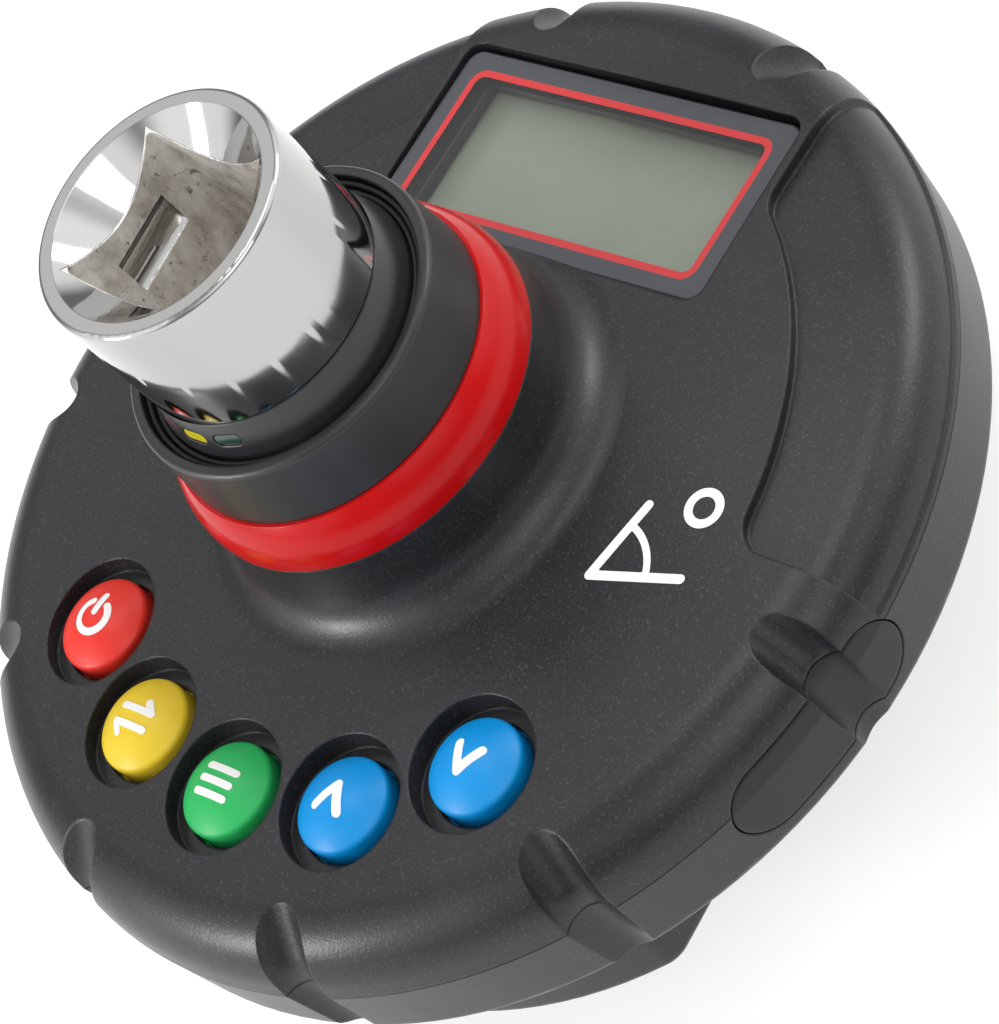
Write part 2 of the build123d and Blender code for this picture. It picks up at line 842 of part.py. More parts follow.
# Plate on the web that stops the housing turning on the shaft, with its key bar and rings
with BuildPart() as lock_plate:
    with BuildSketch(Plane.XY.offset(z_floor)):
        Circle(plate_r)
        Circle(lower_journal_r + slip, mode=Mode.SUBTRACT)
        with Locations((lower_journal_r, 0)):
            Rectangle(2 * key_bar_depth, key_bar_width, mode=Mode.SUBTRACT)
        with Locations(*plate_screw_places):
            Circle(plate_screw_shank + screw_gap, mode=Mode.SUBTRACT)
    extrude(amount=plate_thickness)
save(lock_plate.part, "lock_plate")

with BuildPart() as shaft_key:
    with Locations((lower_journal_r, 0, z_floor + plate_thickness / 2)):
        Box(2 * (key_bar_depth - slip), key_bar_width - 2 * slip, plate_thickness)
save(shaft_key.part, "shaft_key")


def retaining_ring(level):
    """Open ring that snaps into a groove of the lower journal."""
    inner_r = lower_journal_r - clip_groove + slip
    with BuildPart(mode=Mode.PRIVATE) as clip:
        with BuildSketch(Plane.XY.offset(level)):
            Circle(inner_r + clip_width)
            Circle(inner_r, mode=Mode.SUBTRACT)
            with Locations((-inner_r - clip_width / 2, 0)):
                Rectangle(3 * clip_width, 2 * inner_r * math.sin(math.radians(clip_mouth / 2)),
                          mode=Mode.SUBTRACT)
        extrude(amount=clip_thickness)
    return clip.part


save_group([retaining_ring(clip_z_upper), retaining_ring(clip_z_lower)], "retaining_rings")

plate_screws = []
for x, y in plate_screw_places:
    with BuildPart(mode=Mode.PRIVATE) as plate_screw:
        with Locations((x, y, z_floor + plate_thickness)):
            Cylinder(plate_screw_head_r, plate_screw_head_height,
                     align=(Align.CENTER, Align.CENTER, Align.MIN))
            Cylinder(plate_screw_shank, plate_screw_length,
                     align=(Align.CENTER, Align.CENTER, Align.MAX))
    plate_screws.append(plate_screw.part)
save_group(plate_screws, "plate_screws")


# Plain bushes that centre the shaft in the neck and in the boss
front_bush_foot = z_collar - skirt_length
save(
    tube("front_bush", upper_journal_r + slip, collar_bore_r - slip, front_bush_foot,
         z_head - indicator_length - front_bush_foot - slip),
    "front_bush",
)
save(
    tube("rear_bush", lower_journal_r + slip, bush_seat_r, z_boss + cover_thickness,
         clip_z_lower - slip - z_boss - cover_thickness),
    "rear_bush",
)


# Display window, glass panel and the frame that holds it on the board
with BuildPart() as display_window:
    with BuildSketch(display_plane.offset(-window_sink - window_thickness)):
        with Locations((0, (window_gap - window_top_gap) / 2)):
            RectangleRounded(window_width - 2 * window_gap, window_height - window_gap - window_top_gap,
                             window_corner_r - window_gap)
    extrude(amount=window_thickness)
    chamfer(display_window.faces().sort_by(Axis.Z)[-1].edges(), length=window_bevel)
save(display_window.part, "display_window")

with BuildPart() as lcd_panel:
    with BuildSketch(display_plane.offset(-glass_drop - glass_thickness)):
        Rectangle(glass_width, glass_height)
    extrude(amount=glass_thickness)
save(lcd_panel.part, "lcd_panel")

with BuildPart() as lcd_frame:
    frame_plane = display_plane.offset(-glass_drop - glass_thickness)
    with BuildSketch(frame_plane):
        Rectangle(glass_width, glass_height)
        Rectangle(glass_width - 4 * frame_border, glass_height - 4 * frame_border, mode=Mode.SUBTRACT)
    extrude(amount=-2 * (face_z(display_y) - z_board_top))
    split(bisect_by=Plane.XY.offset(z_board_top), keep=Keep.TOP)
save(lcd_frame.part, "lcd_frame")


# Keys: a domed cap, a flange under the casing and a stem over its switch
well_z = face_z(key_circle_r) - well_depth
key_crest_z = face_z(key_circle_r) + key_crest
flange_top = well_z - well_floor - slip
stem_foot = z_board_top + switch_height + key_travel + switch_margin

for name, (x, y) in zip(key_names, key_places):
    with BuildPart() as key:
        with BuildSketch(Plane.XZ) as key_outline:
            with BuildLine():
                crest = (0, key_crest_z)
                shoulder = (key_r, key_crest_z - key_dome)
                dome_r = (key_r ** 2 + key_dome ** 2) / (2 * key_dome)
                half = math.asin(key_r / dome_r) / 2
                middle = (dome_r * math.sin(half), key_crest_z - dome_r * (1 - math.cos(half)))
                ThreePointArc(crest, middle, shoulder)
                Polyline(
                    shoulder,
                    (key_r, flange_top),
                    (key_r + key_flange, flange_top),
                    (key_r + key_flange, flange_top - key_flange_thickness),
                    (key_stem_r, flange_top - key_flange_thickness),
                    (key_stem_r, stem_foot),
                    (0, stem_foot),
                    crest,
                )
            make_face()
            round_corner(key_outline, shoulder, key_edge_r)
        revolve(axis=Axis.Z)
    save(Pos(x, y, 0) * key.part, name)


# Rubber mat and dome switches on the board under the keys
with BuildPart() as keypad_mat:
    with BuildSketch(Plane.XY.offset(z_board_top)):
        mat_turn = 2 * key_step + math.degrees(mat_border / key_circle_r)
        with BuildLine():
            inner_r = key_circle_r - mat_border
            outer_r = key_circle_r + mat_border
            CenterArc((0, 0), outer_r, -90 - mat_turn, 2 * mat_turn)
            CenterArc((0, 0), inner_r, -90 - mat_turn, 2 * mat_turn)
            for turn in (-90 - mat_turn, -90 + mat_turn):
                Line(polar(inner_r, turn), polar(outer_r, turn))
        make_face()
        with Locations(*key_places):
            Circle(key_stem_r + mat_hole_gap, mode=Mode.SUBTRACT)
    extrude(amount=mat_thickness)
save(keypad_mat.part, "keypad_mat")

switches = []
for x, y in key_places:
    with BuildPart(mode=Mode.PRIVATE) as switch:
        with Locations((x, y, z_board_top)):
            Cone(switch_r, switch_top_r, switch_height, align=(Align.CENTER, Align.CENTER, Align.MIN))
    switches.append(switch.part)
save_group(switches, "dome_switches")


# Circuit board between the posts, with the buzzer, the processor and the port socket
with BuildPart() as main_board:
    with BuildSketch(Plane.XY.offset(z_board)):
        Circle(board_r)
        Circle(board_bore_r, mode=Mode.SUBTRACT)
        with Locations(*casing_screw_places):
            Circle(screw_hole_r, mode=Mode.SUBTRACT)
    extrude(amount=board_thickness)
save(main_board.part, "main_board")

with BuildPart() as buzzer:
    buzzer_place = polar(buzzer_circle_r, buzzer_angle)
    with Locations((*buzzer_place, z_board_top)):
        Cylinder(buzzer_r, buzzer_height, align=(Align.CENTER, Align.CENTER, Align.MIN))
    with Locations((*buzzer_place, z_board_top + buzzer_height)):
        Cylinder(buzzer_hole_r, buzzer_height / 2, align=(Align.CENTER, Align.CENTER, Align.MAX),
                 mode=Mode.SUBTRACT)
save(buzzer.part, "buzzer")

with BuildPart() as controller_chip:
    with Locations((*polar(chip_circle_r, chip_angle), z_board_top)):
        Box(chip_side, chip_side, chip_height, align=(Align.CENTER, Align.CENTER, Align.MIN))
save(controller_chip.part, "controller_chip")

jack_face = board_r
with BuildPart() as port_jack:
    with BuildSketch(port_plane(jack_face - jack_length, port_z)):
        Rectangle(jack_width, jack_height)
    extrude(amount=jack_length)
    with BuildSketch(port_plane(jack_face, port_z)):
        SlotOverall(jack_mouth_width, jack_mouth_height)
    extrude(amount=-jack_length + 1, mode=Mode.SUBTRACT)
save(port_jack.part, "port_jack")


# Rubber cover in the rim recess, with a tongue that plugs the port socket
with BuildPart() as port_cover:
    add(port_bar(port_length - 2 * port_gap, port_height - 2 * port_gap, rim_r - port_depth + slip))
    with BuildSketch(Plane.XZ):
        with BuildLine():
            Polyline(
                (0, z_disc),
                (rim_r - rim_draft, z_disc),
                (rim_r, z_parting),
                (rim_r - rim_draft, z_edge),
                (0, z_edge),
                close=True,
            )
        make_face()
    revolve(axis=Axis.Z, mode=Mode.INTERSECT)
    for cutter in groove_cutters:
        add(cutter, mode=Mode.SUBTRACT)
    with BuildSketch(port_plane(jack_face - tongue_bite, port_z)):
        SlotOverall(jack_mouth_width - 2 * tongue_gap, jack_mouth_height - 2 * tongue_gap)
    extrude(amount=rim_r - port_depth + slip + root - jack_face + tongue_bite)
save(port_cover.part, "port_cover")


# Two cells that lie across the boss, with a plate and a leaf spring at their ends
cells = []
contacts = []
cell_z = z_boss + cover_thickness + cell_r + cell_gap
for side in (-1, 1):
    plate_x = side * (bay_length / 2 - contact_thickness)
    nub_x = plate_x - side * cell_nub_length
    far_x = -plate_x
    cell_foot = nub_x - side * (cell_length - cell_nub_length)
    row = Plane(origin=(nub_x, side * cell_y, cell_z), x_dir=(0, 1, 0), z_dir=(-side, 0, 0))
    with BuildPart(mode=Mode.PRIVATE) as cell:
        with BuildSketch(row):
            Circle(cell_r)
        extrude(amount=cell_length - cell_nub_length)
        fillet(cell.edges().filter_by(GeomType.CIRCLE), radius=cell_edge_r)
        with BuildSketch(row):
            Circle(cell_nub_r)
        extrude(amount=-cell_nub_length)
    cells.append(cell.part)
    with BuildPart(mode=Mode.PRIVATE) as plus_plate:
        with Locations((plate_x + side * contact_thickness / 2, side * cell_y, cell_z)):
            Box(contact_thickness, contact_width, contact_width)
    contacts.append(plus_plate.part)
    with BuildPart(mode=Mode.PRIVATE) as leaf:
        with BuildSketch(Plane.XZ.offset(-side * cell_y - contact_width / 2)):
            with BuildLine():
                back = far_x - side * contact_thickness / 2
                low = cell_z - contact_width / 2
                Polyline((back, low + contact_width), (back, low), (cell_foot - side * leaf_gap, cell_z),
                         (back + side * leaf_lean, low + contact_width))
            trace(line_width=contact_thickness)
        extrude(amount=contact_width)
    contacts.append(leaf.part)
save_group(cells, "battery_cells")
save_group(contacts, "battery_contacts")


# Screws from the back: six for the casings and four for the battery cover
casing_screw_length = z_board_top + screw_bite - z_disc
save_group(
    [screw(x, y, z_disc, casing_screw_length, screw_r, screw_head_r, screw_head_height)
     for x, y in casing_screw_places],
    "casing_screws",
)
save_group(
    [screw(x, y, z_boss, cover_screw_length, screw_r, screw_head_r, screw_head_height)
     for x, y in cover_screw_places],
    "cover_screws",
)
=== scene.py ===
import json
import math

import bpy
from mathutils import Matrix, Vector


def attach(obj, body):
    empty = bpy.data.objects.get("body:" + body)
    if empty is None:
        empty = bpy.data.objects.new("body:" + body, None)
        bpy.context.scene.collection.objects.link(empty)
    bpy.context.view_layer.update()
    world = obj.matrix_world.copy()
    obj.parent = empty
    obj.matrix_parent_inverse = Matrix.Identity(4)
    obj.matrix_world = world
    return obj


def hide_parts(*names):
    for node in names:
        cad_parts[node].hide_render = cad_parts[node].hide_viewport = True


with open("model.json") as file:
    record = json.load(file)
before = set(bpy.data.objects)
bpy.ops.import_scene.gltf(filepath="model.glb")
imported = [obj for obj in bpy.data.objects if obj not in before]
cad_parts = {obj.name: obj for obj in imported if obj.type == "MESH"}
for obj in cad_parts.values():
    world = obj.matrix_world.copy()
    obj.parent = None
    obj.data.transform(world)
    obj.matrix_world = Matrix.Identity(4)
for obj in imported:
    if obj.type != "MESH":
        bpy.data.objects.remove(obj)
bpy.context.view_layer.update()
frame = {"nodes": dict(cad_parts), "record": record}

MM = 0.001
nodes = frame["nodes"]
scene = bpy.context.scene

# Sizes of the model that the looks are set on, in millimetres
FOOT_R = 19.0
FACE_Z = 44.6
FACE_SLOPE = 1.3 / 19.5
SEAM_Z = 36.9
KEY_CIRCLE_R = 31.6
KEY_ANGLES = {"key_clear": -134, "key_units": -112, "key_memory": -90, "key_up": -68, "key_down": -46}
KEY_CREST_Z = 44.8606
KEY_DOME_R = 6.3125
DISPLAY_Y = 26.7
SQUARE_HALF = 6.42
SQUARE_FLOOR_Z = 60.0


def face_z(radius):
    return FACE_Z - FACE_SLOPE * (radius - FOOT_R)


# Materials


def lin(r, g, b):
    """Screen colour, 0 to 255, as the linear colour that the shaders use."""
    out = []
    for c in (r, g, b):
        c /= 255.0
        out.append(c / 12.92 if c <= 0.04045 else ((c + 0.055) / 1.055) ** 2.4)
    return (*out, 1.0)


class Shader:
    """A material under construction, with short names for its nodes."""

    def __init__(self, name, slot_colour):
        self.material = bpy.data.materials.new(name)
        self.material.use_nodes = True
        self.material.diffuse_color = slot_colour
        self.tree = self.material.node_tree
        self.tree.nodes.clear()
        self.out = self.node("ShaderNodeOutputMaterial")
        self.main = self.node("ShaderNodeBsdfPrincipled")
        self.tree.links.new(self.main.outputs[0], self.out.inputs["Surface"])
        self.place = self.node("ShaderNodeTexCoord").outputs["Object"]

    def node(self, kind, **inputs):
        n = self.tree.nodes.new(kind)
        for key, value in inputs.items():
            if hasattr(value, "links"):
                self.tree.links.new(value, n.inputs[key])
            else:
                n.inputs[key].default_value = value
        return n

    def link(self, source, target):
        self.tree.links.new(source, target)

    def set(self, **values):
        for key, value in values.items():
            self.main.inputs[key.replace("_", " ")].default_value = value

    def noise(self, size_mm, detail=3.0, rough=0.55, stretch=None):
        """Noise whose features are about size_mm across."""
        place = self.place
        if stretch:
            place = self.node("ShaderNodeMapping", Vector=place, Scale=stretch).outputs[0]
        scale = 1.0 / (size_mm * MM)
        n = self.node("ShaderNodeTexNoise", Vector=place, Scale=scale, Detail=detail, Roughness=rough)
        return n.outputs[0]

    def span(self, value, low, high, to_low, to_high, smooth=False):
        """Map Range with clamping."""
        n = self.node("ShaderNodeMapRange", Value=value)
        n.interpolation_type = "SMOOTHSTEP" if smooth else "LINEAR"
        for key, v in (("From Min", low), ("From Max", high), ("To Min", to_low), ("To Max", to_high)):
            n.inputs[key].default_value = v
        return n.outputs[0]

    def math(self, how, a, b=None):
        n = self.tree.nodes.new("ShaderNodeMath")
        n.operation = how
        for i, v in enumerate((a, b)):
            if v is None:
                continue
            if hasattr(v, "links"):
                self.tree.links.new(v, n.inputs[i])
            else:
                n.inputs[i].default_value = v
        return n.outputs[0]

    def mix(self, amount, a, b):
        """Colour mix; amount, a and b are sockets or values."""
        n = self.tree.nodes.new("ShaderNodeMix")
        n.data_type = "RGBA"
        for i, v in ((0, amount), (6, a), (7, b)):
            if hasattr(v, "links"):
                self.tree.links.new(v, n.inputs[i])
            else:
                n.inputs[i].default_value = v
        return n.outputs[2]

    def bumps(self, layers, bevel_mm=0.0):
        """Bump layers (height, depth in mm), one over the other, on rounded edges."""
        normal = None
        if bevel_mm:
            bevel = self.node("ShaderNodeBevel", Radius=bevel_mm * MM)
            bevel.samples = 6
            normal = bevel.outputs[0]
        for height, depth in layers:
            n = self.node("ShaderNodeBump", Strength=1.0, Distance=depth * MM, Height=height)
            if normal is not None:
                self.link(normal, n.inputs["Normal"])
            normal = n.outputs[0]
        if normal is not None:
            self.link(normal, self.main.inputs["Normal"])


def plastic(name, rgb, rough, grain_mm=0.28, grain_depth=0.012, vary=0.12, bevel_mm=0.25, rough_vary=0.08,
            specular=0.5, coat=0.0, coat_rough=0.1):
    """Moulded plastic: spark grain, faint colour variation and softly rounded edges."""
    s = Shader(name, lin(*rgb))
    base = lin(*rgb)
    dark = [c * (1 - vary) for c in base[:3]] + [1]
    light = [c * (1 + vary) for c in base[:3]] + [1]
    cloud = s.noise(7.0, 4.0)
    s.link(s.mix(s.span(cloud, 0.35, 0.65, 0, 1), dark, light), s.main.inputs["Base Color"])
    fine = s.noise(grain_mm, 2.5, 0.6)
    spread = rough_vary / 2
    s.link(s.span(cloud, 0.3, 0.7, rough - spread, rough + spread), s.main.inputs["Roughness"])
    s.set(Specular_IOR_Level=specular, Coat_Weight=coat, Coat_Roughness=coat_rough)
    s.bumps([(fine, grain_depth)], bevel_mm)
    return s


def metal(name, rgb, rough, brushed_mm=0.0, vary=0.05, bevel_mm=0.12):
    """Bare or plated metal with fine unevenness."""
    s = Shader(name, lin(*rgb))
    base = lin(*rgb)
    cloud = s.noise(3.0, 4.0)
    dark = [c * (1 - vary) for c in base[:3]] + [1]
    s.link(s.mix(cloud, dark, base), s.main.inputs["Base Color"])
    s.set(Metallic=1.0)
    s.link(s.span(cloud, 0.3, 0.7, rough * 0.8, rough * 1.25), s.main.inputs["Roughness"])
    layers = [(s.noise(brushed_mm, 3.0, 0.6), 0.006)] if brushed_mm else []
    s.bumps(layers, bevel_mm)
    return s


def casing_material():
    """Spark-eroded dark casing plastic with the joint line of the two halves."""
    s = Shader("casing_plastic_look", lin(52, 52, 54))
    axes = s.node("ShaderNodeSeparateXYZ", Vector=s.place)
    cloud = s.noise(9.0, 4.0)
    fine = s.noise(0.30, 2.0, 0.65)
    specks = s.noise(0.26, 1.0, 0.5)
    base = s.mix(s.span(cloud, 0.35, 0.65, 0, 1), lin(32, 32, 34), lin(37, 37, 40))
    base = s.mix(s.span(specks, 0.58, 0.72, 0, 0.30), base, lin(84, 84, 87))
    off = s.math("ABSOLUTE", s.math("SUBTRACT", axes.outputs["Z"], SEAM_Z * MM))
    seam = s.span(off, 0.07 * MM, 0.16 * MM, 1, 0, smooth=True)
    s.link(s.mix(seam, base, lin(12, 12, 13)), s.main.inputs["Base Color"])
    s.link(s.span(cloud, 0.3, 0.7, 0.31, 0.37), s.main.inputs["Roughness"])
    s.set(Specular_IOR_Level=0.42)
    groove = s.math("SUBTRACT", 1.0, seam)
    s.bumps([(fine, 0.014), (specks, 0.008), (groove, 0.12)], 0.35)
    return s


def chrome_material():
    """Bright plating outside, dull and stained inside the square."""
    s = Shader("chromed_steel_look", lin(225, 225, 225))
    axes = s.node("ShaderNodeSeparateXYZ", Vector=s.place)
    ax = s.math("ABSOLUTE", axes.outputs["X"])
    ay = s.math("ABSOLUTE", axes.outputs["Y"])
    side = s.math("MAXIMUM", ax, ay)
    inside = s.span(side, SQUARE_HALF * MM, (SQUARE_HALF + 0.08) * MM, 1, 0)
    high = s.span(axes.outputs["Z"], SQUARE_FLOOR_Z * MM, (SQUARE_FLOOR_Z + 0.5) * MM, 0, 1)
    deep = s.math("MULTIPLY", inside, high)
    grime = s.noise(2.2, 6.0, 0.65, stretch=(1.0, 1.0, 0.6))
    spots = s.noise(1.1, 4.0, 0.65)
    dull = s.mix(s.span(grime, 0.38, 0.62, 0, 1), lin(196, 191, 184), lin(246, 243, 238))
    dull = s.mix(s.span(spots, 0.60, 0.68, 0, 0.8), dull, lin(92, 84, 74))
    s.link(s.mix(deep, lin(182, 182, 181), dull), s.main.inputs["Base Color"])
    s.link(s.math("SUBTRACT", 1.0, s.math("MULTIPLY", deep, 0.45)), s.main.inputs["Metallic"])
    shine = s.span(s.noise(6.0, 3.0), 0.3, 0.7, 0.035, 0.07)
    rough = s.span(grime, 0.3, 0.7, 0.22, 0.42)
    n = s.tree.nodes.new("ShaderNodeMix")
    s.link(deep, n.inputs[0])
    s.link(shine, n.inputs[2])
    s.link(rough, n.inputs[3])
    s.link(n.outputs[0], s.main.inputs["Roughness"])
    pits = s.math("MULTIPLY", s.noise(0.5, 4.0, 0.6), deep)
    s.bumps([(s.noise(4.0, 1.0), 0.01), (pits, 0.10)], 0.16)
    return s


def clear_material():
    """Clear plastic: what lies behind shows, with a gloss over it."""
    s = Shader("window_clear", (0.8, 0.8, 0.8, 0.2))
    s.tree.nodes.remove(s.main)
    see = s.node("ShaderNodeBsdfTransparent", Color=(0.97, 0.98, 0.97, 1))
    gloss = s.node("ShaderNodeBsdfGlossy", Color=(1, 1, 1, 1), Roughness=0.06)
    outside = s.math("SUBTRACT", 1.0, s.node("ShaderNodeNewGeometry").outputs["Backfacing"])
    amount = s.math("MULTIPLY", s.node("ShaderNodeFresnel", IOR=1.49).outputs[0], outside)
    mix = s.node("ShaderNodeMixShader", Fac=amount)
    s.link(see.outputs[0], mix.inputs[1])
    s.link(gloss.outputs[0], mix.inputs[2])
    s.link(mix.outputs[0], s.out.inputs["Surface"])
    return s


def lens_material(name, rgb):
    """Tinted lens over a light that is off."""
    return plastic(name, rgb, 0.18, grain_mm=0.5, grain_depth=0.004, bevel_mm=0.12,
                   coat=0.6, coat_rough=0.05)


def key_material(name, rgb):
    """Satin coloured key."""
    return plastic(name, rgb, 0.40, grain_depth=0.008, vary=0.04, bevel_mm=0.2, specular=0.35)


looks = {
    "casing_plastic": casing_material(),
    "chromed_steel": chrome_material(),
    "bearing_steel": metal("bearing_steel_look", (205, 205, 208), 0.10),
    "spring_steel": metal("spring_steel_look", (165, 165, 168), 0.28),
    "gauge_foil": metal("gauge_foil_look", (190, 160, 110), 0.35),
    "plated_steel": metal("plated_steel_look", (190, 190, 192), 0.25, brushed_mm=0.3),
    "screw_steel": metal("screw_steel_look", (70, 70, 74), 0.34, brushed_mm=0.3),
    "bush_plastic": plastic("bush_plastic_look", (205, 203, 195), 0.5),
    "collar_plastic": plastic("collar_plastic_look", (40, 40, 42), 0.36, grain_mm=0.25, grain_depth=0.006),
    "band_plastic": plastic("band_plastic_look", (190, 12, 14), 0.20, grain_mm=3.0, grain_depth=0.01,
                            vary=0.05, bevel_mm=0.15, rough_vary=0.04, specular=0.22),
    "ring_plastic": plastic("ring_plastic_look", (44, 44, 46), 0.30, grain_mm=0.3, grain_depth=0.004),
    "seal_rubber": plastic("seal_rubber_look", (30, 30, 31), 0.55, grain_mm=0.4, grain_depth=0.01),
    "cover_rubber": plastic("cover_rubber_look", (29, 29, 30), 0.46, grain_mm=0.35, grain_depth=0.012,
                            bevel_mm=0.5, specular=0.35),
    "lens_red": lens_material("lens_red_look", (190, 60, 70)),
    "lens_yellow": lens_material("lens_yellow_look", (205, 190, 40)),
    "lens_green": lens_material("lens_green_look", (30, 60, 48)),
    "window_plastic": plastic("window_plastic_look", (74, 78, 86), 0.2),
    "lcd_glass": plastic("lcd_glass_look", (132, 138, 125), 0.30, grain_mm=0.8, grain_depth=0.0004,
                         vary=0.03, bevel_mm=0.0, rough_vary=0.03),
    "key_red": key_material("key_red_look", (220, 50, 38)),
    "key_yellow": key_material("key_yellow_look", (222, 192, 44)),
    "key_green": key_material("key_green_look", (40, 174, 92)),
    "key_blue": key_material("key_blue_look", (0, 136, 206)),
    "board_laminate": plastic("board_laminate_look", (28, 92, 52), 0.4),
    "component_plastic": plastic("component_plastic_look", (28, 28, 30), 0.45),
    "cell_jacket": plastic("cell_jacket_look", (58, 74, 110), 0.3, vary=0.03),
}
for node in nodes.values():
    for place in node.material_slots:
        if place.material and place.material.name in looks:
            place.material = looks[place.material.name].material

# The display's frame shows as a grey margin round the glass
frame_look = plastic("lcd_frame_look", (84, 88, 83), 0.5, grain_mm=0.8, grain_depth=0.002, vary=0.04)
for place in nodes["lcd_frame"].material_slots:
    place.material = frame_look.material

ink = plastic("white_ink", (232, 232, 230), 0.45, grain_mm=0.4, grain_depth=0.006, vary=0.03, bevel_mm=0.0)
border_print = plastic("window_print", (58, 60, 66), 0.28, grain_mm=2.0, grain_depth=0.002, vary=0.04,
                       bevel_mm=0.0, coat=0.3, coat_rough=0.08)
red_print = plastic("window_red_line", (196, 30, 34), 0.28, grain_mm=2.0, grain_depth=0.002, vary=0.03,
                    bevel_mm=0.0, coat=0.3, coat_rough=0.08)
window_clear = clear_material()


# Pieces


def piece(name, points, faces, materials, body, face_materials=None):
    """Object from points in millimetres, riding on a body."""
    mesh = bpy.data.meshes.new(name)
    mesh.from_pydata([Vector(p) * MM for p in points], [], faces)
    for m in materials:
        mesh.materials.append(m.material)
    if face_materials:
        mesh.polygons.foreach_set("material_index", face_materials)
    mesh.polygons.foreach_set("use_smooth", [False] * len(faces))
    mesh.update()
    obj = bpy.data.objects.new(name, mesh)
    scene.collection.objects.link(obj)
    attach(obj, body)
    return obj


# Printed marks are outlined by a distance field: below zero is inside


def bar(x0, y0, x1, y1, width):
    """Straight stroke with round ends."""
    dx, dy = x1 - x0, y1 - y0
    length = dx * dx + dy * dy

    def away(x, y):
        t = max(0.0, min(1.0, ((x - x0) * dx + (y - y0) * dy) / length))
        return math.hypot(x - x0 - t * dx, y - y0 - t * dy) - width / 2

    return away


def arc(cx, cy, radius, start, end, width):
    """Stroke along an arc, in degrees, with round ends."""
    tips = []
    for a in (math.radians(start), math.radians(end)):
        tips.append((cx + radius * math.cos(a), cy + radius * math.sin(a)))

    def away(x, y):
        turn = (math.degrees(math.atan2(y - cy, x - cx)) - start) % 360
        if turn <= end - start:
            return abs(math.hypot(x - cx, y - cy) - radius) - width / 2
        return min(math.hypot(x - a, y - b) for a, b in tips) - width / 2

    return away


def mark(name, strokes, box, step, height, body, thick=0.05, sunk=0.12):
    """Thin printed mark over the strokes; height(x, y) is the surface under it, in millimetres."""
    x0, y0, x1, y1 = box
    nx, ny = int((x1 - x0) / step), int((y1 - y0) / step)
    value = []
    for i in range(nx + 1):
        x = x0 + i * step
        value.append([min(s(x, y0 + j * step) for s in strokes) for j in range(ny + 1)])
    points, index, faces = [], {}, []

    def vertex(key, x, y):
        if key not in index:
            index[key] = len(points)
            points.append((x, y, height(x, y) + thick))
        return index[key]

    for i in range(nx):
        for j in range(ny):
            ring = [(i, j), (i + 1, j), (i + 1, j + 1), (i, j + 1)]
            if all(value[a][b] >= 0 for a, b in ring):
                continue
            outline = []
            for k in range(4):
                a, b = ring[k], ring[(k + 1) % 4]
                va, vb = value[a[0]][a[1]], value[b[0]][b[1]]
                if va < 0:
                    outline.append(vertex(a, x0 + a[0] * step, y0 + a[1] * step))
                if (va < 0) != (vb < 0):
                    t = va / (va - vb)
                    x = x0 + (a[0] + t * (b[0] - a[0])) * step
                    y = y0 + (a[1] + t * (b[1] - a[1])) * step
                    outline.append(vertex((min(a, b), max(a, b)), x, y))
            if len(outline) > 2:
                faces.append(outline)
    # An edge that only one face uses is on the rim, which gets a wall down into the surface
    edges = {}
    for f in faces:
        for a, b in zip(f, f[1:] + f[:1]):
            edges[(a, b)] = True
    rim = [(a, b) for a, b in edges if (b, a) not in edges]
    low = {}
    for a, b in rim:
        for v in (a, b):
            if v not in low:
                x, y, z = points[v]
                low[v] = len(points)
                points.append((x, y, z - sunk))
    faces += [[b, a, low[a], low[b]] for a, b in rim]
    return piece(name, points, faces, [ink], body)


def key_surface(key):
    """Centre of a key, and the height of its dome."""
    turn = math.radians(KEY_ANGLES[key])
    cx, cy = KEY_CIRCLE_R * math.cos(turn), KEY_CIRCLE_R * math.sin(turn)

    def height(x, y):
        flat = max(0.0, KEY_DOME_R ** 2 - (x - cx) ** 2 - (y - cy) ** 2)
        return KEY_CREST_Z - KEY_DOME_R + math.sqrt(flat)

    return cx, cy, height


# Strokes of each key's symbol, from the key's centre: a power sign, two opposed arrows, three bars, up, down
FINE = 0.62
BROAD = 0.8
symbols = {
    "key_clear": [
        lambda x, y: arc(x, y, 1.45, 125, 415, FINE),
        lambda x, y: bar(x, y + 0.35, x, y + 1.95, FINE),
    ],
    "key_units": [
        lambda x, y: bar(x - 1.6, y + 0.75, x + 1.6, y + 0.75, FINE),
        lambda x, y: bar(x + 0.8, y + 1.6, x + 1.6, y + 0.75, FINE),
        lambda x, y: bar(x - 1.6, y - 0.75, x + 1.6, y - 0.75, FINE),
        lambda x, y: bar(x - 0.8, y - 1.6, x - 1.6, y - 0.75, FINE),
    ],
    "key_memory": [
        lambda x, y: bar(x - 1.5, y + 1.15, x + 1.5, y + 1.15, FINE),
        lambda x, y: bar(x - 1.5, y, x + 1.5, y, FINE),
        lambda x, y: bar(x - 1.5, y - 1.15, x + 1.5, y - 1.15, FINE),
    ],
    "key_up": [
        lambda x, y: bar(x - 1.2, y - 1.0, x, y + 1.1, BROAD),
        lambda x, y: bar(x, y + 1.1, x + 1.2, y - 1.0, BROAD),
    ],
    "key_down": [
        lambda x, y: bar(x - 1.2, y + 1.0, x, y - 1.1, BROAD),
        lambda x, y: bar(x, y - 1.1, x + 1.2, y + 1.0, BROAD),
    ],
}
SYMBOL_REACH = 2.4


def body_of(node):
    """Name of the CAD body that a node belongs to."""
    bodies = frame["record"]["behaviour"]["bodies"]
    return next(body for body, members in bodies.items() if node in members)


for key, strokes in symbols.items():
    cx, cy, height = key_surface(key)
    box = (cx - SYMBOL_REACH, cy - SYMBOL_REACH, cx + SYMBOL_REACH, cy + SYMBOL_REACH)
    mark(key + "_symbol", [s(cx, cy) for s in strokes], box, 0.1, height, body_of(key))


def front_surface(x, y):
    return face_z(math.hypot(x, y))


